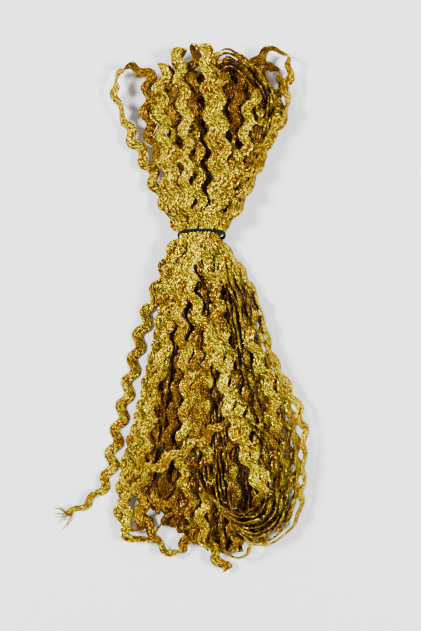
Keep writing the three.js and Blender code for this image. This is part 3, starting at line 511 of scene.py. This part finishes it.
class TrimColours(bpy.types.PropertyGroup):
    """Colours of the hank's materials."""

    # Painted shade and painted glints: deep and back_deep paint yarns in shade, and bright and
    # back paint yarns that shine, drawn yarn by yarn.
    deep: colour("Deep gold", "Shaded yarns of the face", (0.16, 0.055, 0.0))
    middle: colour("Gold", "Most yarns of the face", (0.58, 0.36, 0.0))
    bright: colour("Bright gold", "Shining yarns of the face", (0.90, 0.81, 0.0))
    back_deep: colour("Deep back", "Shaded yarns of the back", (0.09, 0.03, 0.0))
    back: colour("Back", "Shining yarns of the back", (0.48, 0.25, 0.0))
    # Painted shade: this colour darkens the rims of the yarns, where shade falls between one yarn
    # and the next.
    groove_shade: colour("Groove shade", "Between one yarn and the next", (0.09, 0.03, 0.0))
    tie: colour("Tie", "The tie's band", (0.002, 0.003, 0.005))
    # Painted highlight: tie_lit lights the band's raised yarns.
    tie_lit: colour("Tie's lit yarns", "The raised yarns of the band", (0.008, 0.011, 0.018))
    floor: colour("Floor", "The pale surface", (0.88, 0.885, 0.885))


def smooth(low, high, value):
    """0 up to low, 1 from high on, and an even rise between them."""
    t = np.clip((np.asarray(value, float) - low) / (high - low), 0.0, 1.0)
    return t * t * (3.0 - 2.0 * t)


def unit(vectors):
    """The same directions, each of length 1."""
    return vectors / np.maximum(np.linalg.norm(vectors, axis=-1, keepdims=True), NEARLY_ZERO)


def spline(knots, steps):
    """A smooth line that passes through knots, in so many steps from one to the next."""
    padded = np.vstack([2 * knots[0] - knots[1], knots, 2 * knots[-1] - knots[-2]])
    out = []
    t = (np.arange(steps) / steps)[:, None]
    for k in range(len(knots) - 1):
        a, b, c, d = padded[k:k + 4]
        out.append(0.5 * (2 * b + (c - a) * t + (2 * a - 5 * b + 4 * c - d) * t**2
                          + (3 * b - a - 3 * c + d) * t**3))
    out.append(knots[-1:])
    return np.vstack(out)


def body_at(key, y):
    """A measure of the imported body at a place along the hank."""
    return np.interp(y, BODY["y"], BODY[key])


def body_surface(x, y):
    """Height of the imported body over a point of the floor."""
    left, right, top = body_at("left", y), body_at("right", y), body_at("top", y)
    across = np.abs((2 * x - left - right) / (right - left))
    return top * np.sqrt(np.maximum(0.0, 1.0 - (across / BODY_WIDENING) ** BODY_SQUARENESS))


def tie_ceiling(x, y):
    """The height under which a strand passes through the tie, and rises away from it."""
    across = np.clip(np.abs(x - TIE_X) / TIE_HALF_X, 0, 1)
    inside = TIE_MIDDLE_Z + TIE_HALF_Z * (1 - across**TIE_SQUARENESS) ** (1 / TIE_SQUARENESS)
    return inside + TIE_ROOM * np.maximum(0, np.abs(y - TIE_Y) - TIE_LEVEL)


def pull_of_tie(y, near, far):
    """1 beside the tie, fading to 0 between two distances from it."""
    return 1 - smooth(near, far, np.abs(y - TIE_Y))


def waist_knots(share, z, roll, side):
    """Where a strand ends inside the waist, past the tie, and where it passes the tie."""
    inside = TIE_X + WAIST_NARROWING * share * WAIST_HALF
    return [(inside, TIE_Y - side * PAST_TIE, WAIST_DIVE, roll),
            (TIE_X + share * WAIST_HALF, TIE_Y, z, roll)]


def full_knots(row):
    """A row's knots, each with its roll."""
    full = []
    for knot in row[-1]:
        roll = knot[3] if len(knot) > 3 else full[-1][3]
        full.append((*knot[:3], roll))
    return full


def between(outer, inner, share, later=0.0):
    """A row that lies at a share of the way from one row to another, its crest moved on."""
    def part_way(first, second):
        return first + (second - first) * share

    name, start, end, crest, wave, _ = outer
    _, inner_start, inner_end, _, inner_wave, _ = inner
    knots = [tuple(map(part_way, *pair)) for pair in zip(full_knots(outer), full_knots(inner))]
    return (name, part_way(start, inner_start), part_way(end, inner_end), crest + later,
            part_way(wave, inner_wave), knots)


def strand_route(row, side):
    """A strand's middle line, the direction across it, and the place of its chosen crest."""
    _, start, end, crest, _, _ = row
    shown = knots = full_knots(row)
    if start is not None:
        hidden = waist_knots(start, *shown[0][2:], side)
        knots = hidden + knots
        crest += len(hidden)
    if end is not None:
        knots += waist_knots(end, *shown[-1][2:], side)[::-1]
    places = np.array([knot[:3] for knot in knots], float)
    ahead = np.vstack([places[1:], places[-1:]]) - np.vstack([places[:1], places[:-1]])
    flat = unit(ahead[:, :2])
    rolls = [knot[3] for knot in knots]
    width = np.zeros_like(places)
    for k, roll in enumerate(rolls):
        if roll is not FOLD:
            angle = math.radians(roll)
            width[k, 0] = flat[k, 1] * math.cos(angle)
            width[k, 1] = -flat[k, 0] * math.cos(angle)
            width[k, 2] = math.sin(angle)
    for k, roll in enumerate(rolls):
        if roll is FOLD:
            width[k] = width[k - 1] + width[k + 1]
    line = spline(np.hstack([places, unit(width)]), SPLINE_STEPS)
    return line[:, :3], unit(line[:, 3:]), crest * SPLINE_STEPS


def packed_rows(sizes, side, rng):
    """Rows for the loops that lie packed in the body, spread over its width."""
    count = sizes.packed_top if side == ABOVE else sizes.packed_low
    reach = np.array(FAN_REACH if side == ABOVE else FOOT_REACH, float)
    rows = []
    for k in range(count):
        share = (k + rng.uniform(*PACKED_SPOT)) / count * 2 - 1
        tip_x = (reach[0, 0] * (1 - share) + reach[-1, 0] * (1 + share)) / 2
        tip_y = np.interp(tip_x, reach[:, 0], reach[:, 1]) - side * rng.uniform(*PACKED_SHORT)
        shift = rng.uniform(*PACKED_SHIFT)
        turned = 180 if rng.uniform() < PACKED_TURNED else 0
        tilt = rng.uniform(*PACKED_TILT[side])
        level = rng.uniform(*PACKED_FRONT)
        front = []
        back = []
        for t in PACKED_KNOTS:
            y = TIE_Y + (tip_y - TIE_Y) * t
            left, right = body_at("left", y) + PACKED_INSET, body_at("right", y) - PACKED_INSET
            x = (left + right) / 2 + share * (right - left) / 2
            x += (tip_x - x) * t**PACKED_PULL + rng.uniform(*PACKED_WAVER)
            surface = max(PACKED_LOWEST_TOP, float(body_surface(x, y)))
            roll = turned + tilt * rng.uniform(*PACKED_TILT_CHANGE)
            front.append((x, y, level * surface, roll))
            back.append((x + shift * t, y, rng.uniform(*PACKED_BACK) * surface, 180 - roll))
        x, y, z, _ = front[-1]
        tip = [(x + shift / 2, y + side * PACKED_TIP, z / 2, FOLD)]
        start, end = (share * narrowing for narrowing in PACKED_WAIST)
        rows.append(("packed", start, end, PACKED_CREST, sizes.wave_length,
                     front + tip + back[::-1]))
    return rows


def waver(s, waves, phases):
    """The sum of a few waves along a strand."""
    return sum(size * np.sin(s / over + phase) for (size, over), phase in zip(waves, phases))


class Strand:
    """One loop of the trim, or one end of it."""

    def __init__(self, row, side, sizes, rng, sway=1.0):
        name, _, _, _, self.wave, _ = row
        points, width, crest = strand_route(row, side)
        step = np.linalg.norm(np.diff(points, axis=0), axis=1)
        at = np.concatenate([[0], np.cumsum(step)])
        self.length = at[-1]
        self.crest = at[int(round(crest))]
        self.side = side
        self.sizes = sizes
        # The named strands' tones are painted light and shade. The other strands' tones differ at
        # random.
        self.tone = PAINTED_LIGHT_AND_SHADE_TONES.get(name, rng.uniform(*OTHER_TONES))
        self.sway = rng.uniform(0, 2 * np.pi, 4)
        self.sway_size = sway
        self.route = at, points, width
        self.lift = np.zeros(2)

    def stations(self, per_wave):
        """Middle line, directions and wave offset at even steps."""
        at, points, across = self.route
        count = max(4, int(round(self.length / self.wave * per_wave)))
        s = np.linspace(0, self.length, count + 1)
        middle = np.column_stack([np.interp(s, at, points[:, k]) for k in range(3)])
        width = unit(np.column_stack([np.interp(s, at, across[:, k]) for k in range(3)]))
        along = unit(np.gradient(middle, axis=0))
        fade = smooth(0, SWAY_FADE, s) * smooth(0, SWAY_FADE, self.length - s) * self.sway_size
        shift = waver(s, SWAY_SHIFTS, self.sway[:2]) * fade
        angle = waver(s, SWAY_TURNS, self.sway[2:]) * fade
        middle[:, 0] += along[:, 1] * shift
        middle[:, 1] -= along[:, 0] * shift
        middle[:, 2] += np.interp(s, np.linspace(0, self.length, len(self.lift)), self.lift)
        along = unit(np.gradient(middle, axis=0))
        width = unit(width - along * np.sum(width * along, axis=1, keepdims=True))
        width = width * np.cos(angle)[:, None] + np.cross(along, width) * np.sin(angle)[:, None]
        size = self.sizes
        turn = 2 * np.pi * (s - self.crest) / self.wave
        pull = pull_of_tie(middle[:, 1], *DRAWN_BRAID)
        height = size.wave_height * (1 - DRAWN_WAVE * pull)
        slope = height * 2 * np.pi / self.wave * np.sin(turn)
        half = size.tape_width / 2 * (1 + slope**2) ** size.slant * (1 - DRAWN_TAPE * pull)
        centre = middle + width * (-self.side * height * np.cos(turn))[:, None]
        return {"s": s, "centre": centre, "width": width, "face": np.cross(width, along),
                "half": half}


def close_pairs(place, foot, owner):
    """Pairs of stations that lie over one another, of two strands or of one strand's legs."""
    first, second = [], []
    for i in range(len(place) - 1):
        gap = place[i + 1:, :2] - place[i, :2]
        reach = SETTLE_REACH * (foot[i + 1:] + foot[i])
        close = np.flatnonzero((gap**2).sum(axis=1) < reach**2) + i + 1
        close = close[(owner[close] != owner[i]) | (close > i + 2 * SETTLE_PER_WAVE)]
        first.append(np.full(len(close), i))
        second.append(close)
    return np.concatenate(first), np.concatenate(second)


def eased(run):
    """Heights along a strand, each evened out with two on either side."""
    wide = np.pad(run, 2, mode="edge")
    return (wide[:-4] + 2 * wide[1:-3] + 3 * run + 2 * wide[3:-1] + wide[4:]) / 9


def settle(strands, sizes):
    """Moves the strands up and down until the layers lie on each other, not in each other."""
    parts = [strand.stations(SETTLE_PER_WAVE) for strand in strands]
    counts = [len(part["s"]) for part in parts]
    ends = np.cumsum([0] + counts)
    owner = np.repeat(np.arange(len(parts)), counts)
    place = np.vstack([part["centre"] for part in parts])
    rise = np.abs(np.concatenate([part["width"][:, 2] for part in parts]))
    flat = np.sqrt(np.maximum(0, 1 - rise**2))
    half_z = sizes.thickness / 2 + rise * sizes.tape_width / 2
    foot = flat * sizes.tape_width / 2 + rise * sizes.thickness / 2
    squeeze = SETTLE_THICKNESS * (1 - DRAWN_GAP * pull_of_tie(place[:, 1], *DRAWN_PILE))
    first, second = close_pairs(place, foot, owner)
    need = (half_z[first] + half_z[second]) * (squeeze[first] + squeeze[second]) / 2
    order = np.where(place[first, 2] >= place[second, 2], 1.0, -1.0)
    lowest = half_z + SETTLE_FLOOR - place[:, 2]
    highest = tie_ceiling(place[:, 0], place[:, 1]) - half_z - place[:, 2]
    highest = np.maximum(highest, lowest)
    lift = np.maximum(0, lowest)
    count = len(place)
    for _ in range(SETTLE_ROUNDS):
        z = place[:, 2] + lift
        short = np.maximum(0, need - order * (z[first] - z[second]))
        push = order * short / 2
        hits = np.bincount(first, short > 0, count) + np.bincount(second, short > 0, count)
        move = np.bincount(first, push, count) - np.bincount(second, push, count)
        lift += SETTLE_STEP * move / np.maximum(1, hits) - GRAVITY
        for a, b in zip(ends[:-1], ends[1:]):
            lift[a:b] = eased(lift[a:b])
        lift = np.clip(lift, lowest, highest)
    for strand, a, b in zip(strands, ends[:-1], ends[1:]):
        strand.lift = lift[a:b].copy()


def band(strand):
    """One strand as a closed band: points, quads, end caps, and the quads' places on the tape."""
    shape = np.array(SECTION)
    ring = len(shape)
    part = strand.stations(STEPS_PER_WAVE)
    count = len(part["s"])
    points = (
        part["centre"][:, None, :]
        + part["width"][:, None, :] * part["half"][:, None, None] * shape[None, :, :1]
        + part["face"][:, None, :] * strand.sizes.thickness / 2 * shape[None, :, 1:]
    )
    sunk = np.maximum(0, FLOOR_GAP - points[:, :, 2].min(axis=1))
    points[:, :, 2] += sunk[:, None]
    corner = np.arange(ring)
    here = np.arange(count - 1)[:, None] * ring + corner
    beside = np.arange(count - 1)[:, None] * ring + (corner + 1) % ring
    quads = np.stack([here + ring, beside + ring, beside, here], axis=-1)
    caps = np.array([corner, corner[::-1] + (count - 1) * ring])
    run = np.broadcast_to((part["s"] + strand.tone * PATTERN_SHIFT)[:, None], (count, ring))
    across = np.broadcast_to(shape[:, 0], (count - 1, ring))
    next_across = np.roll(across, -1, axis=1)
    back = np.where(corner >= ring // 2, BACK_OFFSET, 0.0)[None, :, None]
    places = np.stack([
        np.stack([run[1:], run[1:], run[:-1], run[:-1]], axis=-1),
        np.stack([across, next_across, next_across, across], axis=-1) + back,
    ], axis=-1)
    return points.reshape(-1, 3), quads.reshape(-1, 4), caps, places.reshape(-1, 2)


def new_piece(name, points, faces, places):
    """An object at the origin, with the place on the tape of each corner of its faces."""
    mesh = bpy.data.meshes.new(name)
    mesh.from_pydata(np.array(points) * MM, [], faces)
    layer = mesh.uv_layers.new(name="braid")
    layer.data.foreach_set("uv", np.ravel(places))
    mesh.shade_smooth()
    mesh.validate()
    piece = bpy.data.objects.new(name, mesh)
    bpy.context.scene.collection.objects.link(piece)
    return piece


def braid_mesh(name, strands):
    """One object of several strands, each with its own tone."""
    points, quads, caps, places = zip(*[band(strand) for strand in strands])
    counts = [len(part) for part in points]
    starts = np.cumsum([0] + counts[:-1])
    faces = [face for parts in (quads, caps) for part, start in zip(parts, starts)
             for face in (part + start).tolist()]
    places = np.vstack(places + tuple(np.zeros((part.size, 2)) for part in caps))
    piece = new_piece(name, np.vstack(points), faces, places)
    tone = piece.data.attributes.new("tone", "FLOAT", "POINT")
    tones = [TONE_STRENGTH * (strand.tone - PLAIN_TONE) for strand in strands]
    tone.data.foreach_set("value", np.repeat(tones, counts))
    return piece


def thread_lines(rng):
    """Bent middle lines of the frayed threads, from the tape's end to their tips."""
    root = np.array(LOOSE_END[-1])
    t = np.array(THREAD_KNOTS)[:, None]
    lines = []
    for tip in np.array(THREAD_TIPS):
        start = root + (rng.uniform(*THREAD_INSIDE), rng.uniform(*THREAD_SPREAD), THREAD_RISE)
        knots = start + (tip - start) * t
        knots[1:3] += rng.uniform(*THREAD_BEND, (2, 3)) * THREAD_BEND_SHARES
        lines.append(spline(knots, THREAD_STEPS))
    return lines


def thread_mesh(name, lines):
    """One object of thin round threads that taper to their tips."""
    points = []
    faces = []
    sides = THREAD_SIDES
    for line in lines:
        along = unit(np.gradient(line, axis=0))
        side = unit(np.cross(along, (0, 0, 1)))
        rise = np.cross(side, along)
        radius = THREAD_SIZE / 2 * np.linspace(1.0, THREAD_TAPER, len(line))[:, None]
        start = len(points)
        for k in range(len(line)):
            for angle in np.linspace(0, 2 * np.pi, sides + 1)[:-1]:
                point = line[k] + radius[k] * (side[k] * np.cos(angle) + rise[k] * np.sin(angle))
                point[2] = max(point[2], FLOOR_GAP)
                points.append(point)
        for k in range(len(line) - 1):
            for i in range(sides):
                a = start + sides * k + i
                b = start + sides * k + (i + 1) % sides
                faces.append((a, b, b + sides, a + sides))
        faces.append(tuple(range(start + sides - 1, start - 1, -1)))
        faces.append(tuple(range(len(points) - sides, len(points))))
    places = [(points[i][0], THREAD_PATTERN * points[i][1]) for face in faces for i in face]
    return new_piece(name, points, faces, places)


class Nodes:
    """Short calls for a tree's nodes and the links between them."""

    def __init__(self, tree):
        self.tree = tree

    def feed(self, target, value):
        """Sets a socket to a value, or links another node's socket to it."""
        if isinstance(value, bpy.types.NodeSocket):
            self.tree.links.new(value, target)
        else:
            target.default_value = value

    def add(self, kind, inputs, **settings):
        """A node with its settings, and its inputs by name."""
        node = self.tree.nodes.new(kind)
        for key, value in settings.items():
            setattr(node, key, value)
        for key, value in inputs.items():
            self.feed(node.inputs[key], value)
        return node

    def math(self, operation, first, second):
        """What an operation makes of two numbers."""
        inputs = {0: first, 1: second}
        return self.add("ShaderNodeMath", inputs, operation=operation).outputs["Value"]

    def vector(self, operation, first, second):
        """What an operation makes of two vectors."""
        node = self.add("ShaderNodeVectorMath", {0: first, 1: second}, operation=operation)
        return node.outputs["Value" if operation == "DOT_PRODUCT" else "Vector"]

    def mix(self, share, first, second):
        """A colour that is a share of the way from one to another."""
        inputs = {"Factor": share, "A": first, "B": second}
        return self.add("ShaderNodeMix", inputs, data_type="RGBA").outputs["Result"]

    def ramp(self, value, *stops):
        """Colours along a value, each stop a position and its colour."""
        node = self.add("ShaderNodeValToRGB", {"Fac": value})
        elements = node.color_ramp.elements
        for element, (position, shade) in zip(elements, (stops[0], stops[-1])):
            element.position = position
            element.color = shade
        for position, shade in stops[1:-1]:
            elements.new(position).color = shade
        return node.outputs["Color"]


def new_material(name):
    """A material, its nodes and its shader."""
    material = bpy.data.materials.new(name)
    material.use_nodes = True
    tree = material.node_tree
    return material, Nodes(tree), tree.nodes["Principled BSDF"]


def gold_braid(colours):
    """Metallic yarns plaited along the tape: a lemon face and a deeper, redder back, with glints
    and shade painted into the yarns' colours.
    """
    material, tree, shader = new_material("metallic_yarns")
    uv = tree.add("ShaderNodeUVMap", {}, uv_map="braid").outputs["UV"]
    split = tree.add("ShaderNodeSeparateXYZ", {"Vector": uv})
    run, across = split.outputs["X"], split.outputs["Y"]
    back = tree.math("GREATER_THAN", across, BACK_OFFSET / 2)
    slanted = tree.math("MULTIPLY", run, YARN_SLANT)
    rows = tree.math("MULTIPLY", across, YARN_ROWS / 2)
    grid = tree.add("ShaderNodeCombineXYZ", {
        "X": tree.math("MULTIPLY", run, 1 / YARN_DASH),
        "Y": tree.math("ADD", rows, slanted),
    }).outputs["Vector"]
    cells = tree.add("ShaderNodeTexVoronoi", {
        "Vector": grid, "Scale": 1.0, "Randomness": YARN_UNEVENNESS,
    }, voronoi_dimensions="2D").outputs
    chance = tree.add("ShaderNodeSeparateColor", {"Color": cells["Color"]}).outputs

    tone = tree.add("ShaderNodeAttribute", {}, attribute_name="tone").outputs["Fac"]
    place = tree.add("ShaderNodeTexCoord", {}).outputs["Object"]
    noise = tree.add("ShaderNodeTexNoise", {"Vector": place, "Scale": PATCHES, "Detail": 1.0})
    patch = tree.math("SUBTRACT", noise.outputs["Fac"], 0.5)
    # Painted glints and painted shade: each yarn's base colour runs from the deep to the bright
    # gold, set by a random draw, the strand's tone and the patches.
    painted_shine = tree.math("ADD", tree.math("ADD", chance["Red"], tone),
                      tree.math("MULTIPLY", patch, PATCH_STRENGTH))
    face_colours = (colours.deep, colours.middle, colours.bright)
    back_colours = (colours.back_deep, colours.back)
    yarn = tree.mix(back, tree.ramp(painted_shine, *zip(FACE_STOPS, face_colours)),
                    tree.ramp(painted_shine, *zip(BACK_STOPS, back_colours)))
    # Painted shade in the grooves: near its rim, each yarn is mixed towards the groove shade
    # colour.
    groove_shade = tree.add("ShaderNodeMapRange", {
        "Value": cells["Distance"], "From Min": GROOVE_SHADE_EDGES[0], "From Max": GROOVE_SHADE_EDGES[1],
        "To Min": 0.0, "To Max": GROOVE_SHADE_DEPTH,
    }, interpolation_type="SMOOTHSTEP").outputs["Result"]
    rough = tree.add("ShaderNodeMapRange", {
        "Value": chance["Green"], "To Min": GOLD_ROUGHNESS[0], "To Max": GOLD_ROUGHNESS[1],
    }).outputs["Result"]
    tree.feed(shader.inputs["Base Color"], tree.mix(groove_shade, yarn, colours.groove_shade))
    tree.feed(shader.inputs["Roughness"], rough)
    shader.inputs["Metallic"].default_value = GOLD_METALLIC
    shader.inputs["Specular IOR Level"].default_value = GOLD_SPECULAR
    shader.inputs["Specular Tint"].default_value = colours.bright

    away = tree.vector("SUBTRACT", grid, cells["Position"])
    facing = tree.vector("SUBTRACT", cells["Color"], (0.5, 0.5, 0.5))
    tilt = tree.math("MULTIPLY", tree.vector("DOT_PRODUCT", away, facing), YARN_TILT)
    dome = tree.math("MULTIPLY", cells["Distance"], YARN_DOME)
    bump = tree.add("ShaderNodeBump", {
        "Height": tree.math("ADD", dome, tilt), "Strength": 1.0, "Distance": YARN_RELIEF * MM,
    })
    tree.feed(shader.inputs["Normal"], bump.outputs["Normal"])
    return material


def gold_material(context):
    """The metallic yarns, made once for all the pieces."""
    found = bpy.data.materials.get("metallic_yarns")
    return found or gold_braid(context.scene.ricrac_colours)


def tie_band(colours):
    """A dark band of fine cords that run round the waist, with a painted highlight on their raised
    yarns.
    """
    material, tree, shader = new_material("tie_band")
    place = tree.add("ShaderNodeTexCoord", {}).outputs["Object"]
    cords = tree.add("ShaderNodeTexWave", {
        "Vector": place, "Scale": TIE_CORDS, "Distortion": TIE_CORD_BEND,
        "Detail Scale": TIE_CORD_BEND_SCALE,
    }, wave_type="BANDS", bands_direction="Y")
    fuzz = tree.add("ShaderNodeTexNoise", {"Vector": place, "Scale": TIE_FUZZ})
    share = tree.math("MULTIPLY", cords.outputs["Fac"], fuzz.outputs["Fac"])
    bump = tree.add("ShaderNodeBump", {
        "Height": share, "Strength": TIE_RELIEF_STRENGTH, "Distance": TIE_RELIEF * MM,
    })
    # Painted highlight: the raised yarns are mixed towards the lit colour.
    tree.feed(shader.inputs["Base Color"], tree.mix(share, colours.tie, colours.tie_lit))
    tree.feed(shader.inputs["Normal"], bump.outputs["Normal"])
    shader.inputs["Roughness"].default_value = TIE_ROUGHNESS
    shader.inputs["Specular IOR Level"].default_value = TIE_SPECULAR
    return material


def pale_floor(colours):
    """The plain surface that the hank lies on."""
    material, _, shader = new_material("pale_floor")
    shader.inputs["Base Color"].default_value = colours.floor
    shader.inputs["Roughness"].default_value = FLOOR_ROUGHNESS
    return material


def studio_sky():
    """Pale light from all round, stronger from the sides than from above."""
    world = bpy.data.worlds.new("studio")
    world.use_nodes = True
    tree = Nodes(world.node_tree)
    place = tree.add("ShaderNodeTexCoord", {}).outputs["Generated"]
    split = tree.add("ShaderNodeSeparateXYZ", {"Vector": place})
    strength = tree.add("ShaderNodeMapRange", {
        "Value": split.outputs["Z"], "From Min": SKY_BAND[0], "From Max": SKY_BAND[1],
        "To Min": SKY_STRENGTH[0], "To Max": SKY_STRENGTH[1],
    }, interpolation_type="SMOOTHSTEP").outputs["Result"]
    background = world.node_tree.nodes["Background"]
    background.inputs["Color"].default_value = SKY
    tree.feed(background.inputs["Strength"], strength)
    return world


class RICRAC_OT_stage(bpy.types.Operator):
    """Lays the pale floor and sets the soft lights and the camera above the hank"""

    bl_idname = "ricrac.stage"
    bl_label = "Stage"

    def execute(self, context):
        bpy.ops.object.select_all(action="DESELECT")
        bpy.ops.mesh.primitive_plane_add(size=FLOOR_SIZE, location=(0, 0, 0))
        floor = context.object
        floor.name = "floor"
        floor.data.materials.append(pale_floor(context.scene.ricrac_colours))
        camera = bpy.data.objects.new("camera", bpy.data.cameras.new("camera"))
        context.scene.collection.objects.link(camera)
        camera.location = CAMERA_PLACE
        camera.data.sensor_fit = "VERTICAL"
        camera.data.sensor_height = SENSOR_HEIGHT
        camera.data.lens = SENSOR_HEIGHT * FRAME_DISTANCE / FRAME_HEIGHT
        context.scene.camera = camera
        for name, place, power in LIGHTS:
            light = bpy.data.objects.new(name, bpy.data.lights.new(name, "AREA"))
            light.data.energy = power
            light.data.size = LIGHT_SIZE
            light.location = place
            light.rotation_euler = (-Vector(place)).to_track_quat("-Z", "Y").to_euler()
            context.scene.collection.objects.link(light)
        context.scene.world = studio_sky()
        return {"FINISHED"}


class RICRAC_OT_loose_end(bpy.types.Operator):
    """Lays the loose end down the left side of the hank"""

    bl_idname = "ricrac.loose_end"
    bl_label = "Loose end"

    def execute(self, context):
        sizes = context.scene.ricrac_sizes
        rng = np.random.default_rng(sizes.seed + 1)
        knots = tuple(place + (roll,) for place, roll in zip(LOOSE_END, LOOSE_ROLL))
        row = ("loose end", None, None, LOOSE_CREST, sizes.wave_length, knots)
        strand = Strand(row, BELOW, sizes, rng, sway=0.0)
        piece = braid_mesh("loose_braid", [strand])
        piece.data.materials.append(gold_material(context))
        threads = thread_mesh("frayed_threads", thread_lines(rng))
        threads.data.materials.append(gold_material(context))
        for part in (piece, threads):
            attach(part, "root")
            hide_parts("loose_end")
        return {"FINISHED"}


class RICRAC_OT_loops(bpy.types.Operator):
    """Winds the loops above and below the tie and settles them on each other"""

    bl_idname = "ricrac.loops"
    bl_label = "Loops"

    def execute(self, context):
        sizes = context.scene.ricrac_sizes
        rng = np.random.default_rng(sizes.seed)
        top = list(TOP_STRANDS) + [between(OUTER_ARC, INNER_ARC, share) for share in ARC_SHARES]
        low = list(LOW_STRANDS) + [CUT_STRAND]
        low += [between(OUTER_RIGHT, INNER_RIGHT, share, HALF_WAVE * (k % 2))
                for k, share in enumerate(RIGHT_SHARES)]
        shown = len(top)
        top += packed_rows(sizes, ABOVE, rng)
        low += packed_rows(sizes, BELOW, rng)
        top_strands = [Strand(row, ABOVE, sizes, rng) for row in top]
        low_strands = [Strand(row, BELOW, sizes, rng) for row in low]
        settle(top_strands + low_strands, sizes)
        third = math.ceil(len(low_strands) / 3)
        for name, strands in (
            ("top_loops", top_strands[:shown]),
            ("top_loops_packed", top_strands[shown:]),
            ("low_loops", low_strands[:third]),
            ("low_loops_middle", low_strands[third:2 * third]),
            ("low_loops_packed", low_strands[2 * third:]),
        ):
            piece = braid_mesh(name, strands)
            piece.data.materials.append(gold_material(context))
            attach(piece, "root")
            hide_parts("hank")
        return {"FINISHED"}


class RICRAC_OT_tie(bpy.types.Operator):
    """Gives the tie its dark finish"""

    bl_idname = "ricrac.tie"
    bl_label = "Tie"

    def execute(self, context):
        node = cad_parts["tie"]
        node.data.materials.clear()
        node.data.materials.append(tie_band(context.scene.ricrac_colours))
        return {"FINISHED"}


STEPS = (RICRAC_OT_stage, RICRAC_OT_loose_end, RICRAC_OT_loops, RICRAC_OT_tie)


class RICRAC_PT_panel(bpy.types.Panel):
    """Lists the hank's sizes and colours, and the steps that build it"""

    bl_label = "Ric-rac hank"
    bl_idname = "RICRAC_PT_panel"
    bl_space_type = "VIEW_3D"
    bl_region_type = "UI"
    bl_category = "Ric-rac"

    def draw(self, context):
        for group in (context.scene.ricrac_sizes, context.scene.ricrac_colours):
            for key in type(group).__annotations__:
                self.layout.prop(group, key)
        for step in STEPS:
            self.layout.operator(step.bl_idname)


CLASSES = (TrimSizes, TrimColours) + STEPS + (RICRAC_PT_panel,)


def register():
    for item in CLASSES:
        bpy.utils.register_class(item)
    bpy.types.Scene.ricrac_sizes = PointerProperty(type=TrimSizes)
    bpy.types.Scene.ricrac_colours = PointerProperty(type=TrimColours)


def unregister():
    del bpy.types.Scene.ricrac_colours
    del bpy.types.Scene.ricrac_sizes
    for item in reversed(CLASSES):
        bpy.utils.unregister_class(item)


def main():
    """Builds the stage and the hank."""
    register()
    bpy.ops.ricrac.stage()
    bpy.ops.ricrac.loose_end()
    bpy.ops.ricrac.loops()
    bpy.ops.ricrac.tie()


if __name__ == "__main__":
    main()
